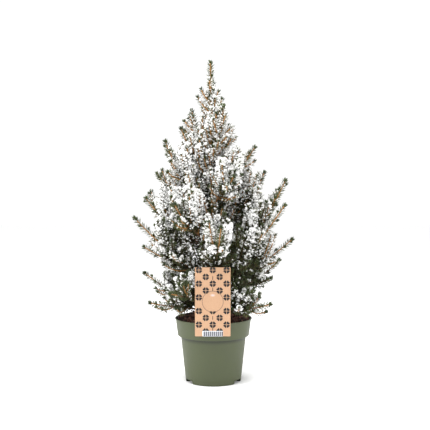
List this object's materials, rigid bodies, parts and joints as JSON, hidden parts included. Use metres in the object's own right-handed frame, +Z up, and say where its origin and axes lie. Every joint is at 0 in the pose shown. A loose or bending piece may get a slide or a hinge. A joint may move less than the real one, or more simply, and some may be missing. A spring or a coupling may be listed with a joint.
{
  "type": "potted dwarf spruce",
  "caption": "Snow-dusted dwarf spruce with a conical crown on one trunk, standing in a round tapered nursery pot with a card label hung over its rim.",
  "frame": {"origin": "on the ground under the middle of the plant and of the pot's foot", "axes": "+Z up along the trunk; -Y is the front, where the card label hangs; +X is to the right seen from the front"},
  "size_m": [0.3527, 0.3197, 0.7071],
  "materials": {
    "pot": "sage green moulded plastic, matt",
    "soil": "dark red-brown bark mulch over compost, rough and damp",
    "label": "peach-brown card, matt print",
    "bark": "rough scaly brown bark",
    "foliage": "grey-green needles dusted with white snow"
  },
  "bodies": {
    "root": {"pot": "pot", "soil": "soil", "label": "label", "trunk": "bark", "bough_skirt_1": "bark", "bough_skirt_2": "bark", "bough_skirt_3": "bark", "bough_skirt_4": "bark", "bough_skirt_5": "bark", "bough_skirt_6": "bark", "bough_skirt_7": "bark", "bough_lower_1": "bark", "bough_lower_2": "bark", "bough_lower_3": "bark", "bough_lower_4": "bark", "bough_lower_5": "bark", "bough_lower_6": "bark", "bough_middle_1": "bark", "bough_middle_2": "bark", "bough_middle_3": "bark", "bough_middle_4": "bark", "bough_middle_5": "bark", "bough_middle_6": "bark", "bough_upper_1": "bark", "bough_upper_2": "bark", "bough_upper_3": "bark", "bough_upper_4": "bark", "bough_upper_5": "bark", "foliage_skirt_1": "foliage", "foliage_skirt_2": "foliage", "foliage_skirt_3": "foliage", "foliage_skirt_4": "foliage", "foliage_skirt_5": "foliage", "foliage_skirt_6": "foliage", "foliage_skirt_7": "foliage", "foliage_lower_1": "foliage", "foliage_lower_2": "foliage", "foliage_lower_3": "foliage", "foliage_lower_4": "foliage", "foliage_lower_5": "foliage", "foliage_lower_6": "foliage", "foliage_middle_1": "foliage", "foliage_middle_2": "foliage", "foliage_middle_3": "foliage", "foliage_middle_4": "foliage", "foliage_middle_5": "foliage", "foliage_middle_6": "foliage", "foliage_upper_1": "foliage", "foliage_upper_2": "foliage", "foliage_upper_3": "foliage", "foliage_upper_4": "foliage", "foliage_upper_5": "foliage", "foliage_shoulder_1": "foliage", "foliage_shoulder_2": "foliage", "foliage_shoulder_3": "foliage", "foliage_shoulder_4": "foliage", "foliage_shoulder_5": "foliage", "foliage_leader": "foliage"}
  },
  "joints": []
}
